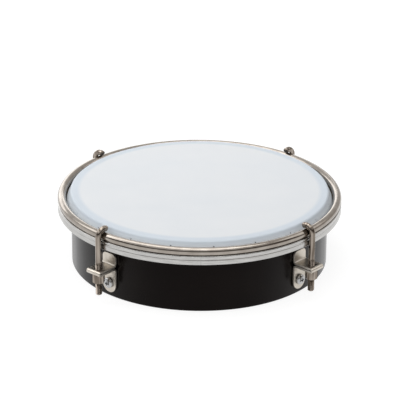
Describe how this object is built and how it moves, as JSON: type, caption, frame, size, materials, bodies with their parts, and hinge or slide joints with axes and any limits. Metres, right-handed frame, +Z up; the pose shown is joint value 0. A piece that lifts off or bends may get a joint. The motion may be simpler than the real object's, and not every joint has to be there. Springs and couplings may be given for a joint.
{
  "type": "tamborim",
  "caption": "Small flat frame drum with a plastic shell, a film head under a round rod hoop, and hooked tension rods with nuts under bent ears.",
  "frame": {"origin": "centre of the shell's lower rim, in the plane that the drum stands on", "axes": "+Z up along the drum's axis towards the head, -Y to the front, the lugs on the diagonals of X and Y"},
  "size_m": [0.1684, 0.1684, 0.0463],
  "materials": {
    "shell_plastic": "moulded, semi-gloss black",
    "film": "frosted polyester film",
    "rolled_aluminium": "satin, drawn along the rim",
    "resin": "cast clear resin",
    "nickel_plate": "bright nickel plate on steel",
    "zinc_plate": "blue zinc plate on steel"
  },
  "bodies": {
    "shell_and_lugs": {"shell": "shell_plastic", "lug_bracket_front_right": "nickel_plate", "lug_bracket_back_right": "nickel_plate", "lug_bracket_back_left": "nickel_plate", "lug_bracket_front_left": "nickel_plate", "bracket_screw_front_right": "zinc_plate", "bracket_screw_back_right": "zinc_plate", "bracket_screw_back_left": "zinc_plate", "bracket_screw_front_left": "zinc_plate", "screw_washer_front_right": "zinc_plate", "screw_washer_back_right": "zinc_plate", "screw_washer_back_left": "zinc_plate", "screw_washer_front_left": "zinc_plate", "screw_nut_front_right": "zinc_plate", "screw_nut_back_right": "zinc_plate", "screw_nut_back_left": "zinc_plate", "screw_nut_front_left": "zinc_plate"},
    "head": {"head_film": "film", "flesh_hoop": "rolled_aluminium", "head_resin": "resin"},
    "counter_hoop": {"counter_hoop": "nickel_plate"},
    "hook_front_right": {"tension_hook_front_right": "nickel_plate"},
    "hook_back_right": {"tension_hook_back_right": "nickel_plate"},
    "hook_back_left": {"tension_hook_back_left": "nickel_plate"},
    "hook_front_left": {"tension_hook_front_left": "nickel_plate"},
    "nut_front_right": {"tuning_nut_front_right": "nickel_plate"},
    "nut_back_right": {"tuning_nut_back_right": "nickel_plate"},
    "nut_back_left": {"tuning_nut_back_left": "nickel_plate"},
    "nut_front_left": {"tuning_nut_front_left": "nickel_plate"}
  },
  "joints": [
    {"name": "nut_front_right_turn", "type": "hinge", "parent": "shell_and_lugs", "child": "nut_front_right", "pos_m": [0.06099, -0.06099, 0.01545], "axis": [0, 0, -1], "range_deg": [0, 5658]},
    {"name": "nut_back_right_turn", "type": "hinge", "parent": "shell_and_lugs", "child": "nut_back_right", "pos_m": [0.06099, 0.06099, 0.01545], "axis": [0, 0, -1], "range_deg": [0, 5658]},
    {"name": "nut_back_left_turn", "type": "hinge", "parent": "shell_and_lugs", "child": "nut_back_left", "pos_m": [-0.06099, 0.06099, 0.01545], "axis": [0, 0, -1], "range_deg": [0, 5658]},
    {"name": "nut_front_left_turn", "type": "hinge", "parent": "shell_and_lugs", "child": "nut_front_left", "pos_m": [-0.06099, -0.06099, 0.01545], "axis": [0, 0, -1], "range_deg": [0, 5658]},
    {"name": "hook_front_right_rise", "type": "slide", "parent": "shell_and_lugs", "child": "hook_front_right", "axis": [0, 0, 1], "range_m": [0, 0.011]},
    {"name": "hook_back_right_rise", "type": "slide", "parent": "shell_and_lugs", "child": "hook_back_right", "axis": [0, 0, 1], "range_m": [0, 0.011]},
    {"name": "hook_back_left_rise", "type": "slide", "parent": "shell_and_lugs", "child": "hook_back_left", "axis": [0, 0, 1], "range_m": [0, 0.011]},
    {"name": "hook_front_left_rise", "type": "slide", "parent": "shell_and_lugs", "child": "hook_front_left", "axis": [0, 0, 1], "range_m": [0, 0.011]},
    {"name": "counter_hoop_rise", "type": "slide", "parent": "shell_and_lugs", "child": "counter_hoop", "axis": [0, 0, 1], "range_m": [0, 0.011]},
    {"name": "head_rise", "type": "slide", "parent": "shell_and_lugs", "child": "head", "axis": [0, 0, 1], "range_m": [0, 0.011]}
  ],
  "couplings": [
    {"joint": "head_rise", "follows": "counter_hoop_rise", "ratio": 1},
    {"joint": "hook_front_right_rise", "follows": "counter_hoop_rise", "ratio": 1},
    {"joint": "hook_back_right_rise", "follows": "counter_hoop_rise", "ratio": 1},
    {"joint": "hook_back_left_rise", "follows": "counter_hoop_rise", "ratio": 1},
    {"joint": "hook_front_left_rise", "follows": "counter_hoop_rise", "ratio": 1},
    {"joint": "nut_front_right_turn", "follows": "counter_hoop_rise", "rad_per_m": 8976},
    {"joint": "nut_back_right_turn", "follows": "counter_hoop_rise", "rad_per_m": 8976},
    {"joint": "nut_back_left_turn", "follows": "counter_hoop_rise", "rad_per_m": 8976},
    {"joint": "nut_front_left_turn", "follows": "counter_hoop_rise", "rad_per_m": 8976}
  ]
}
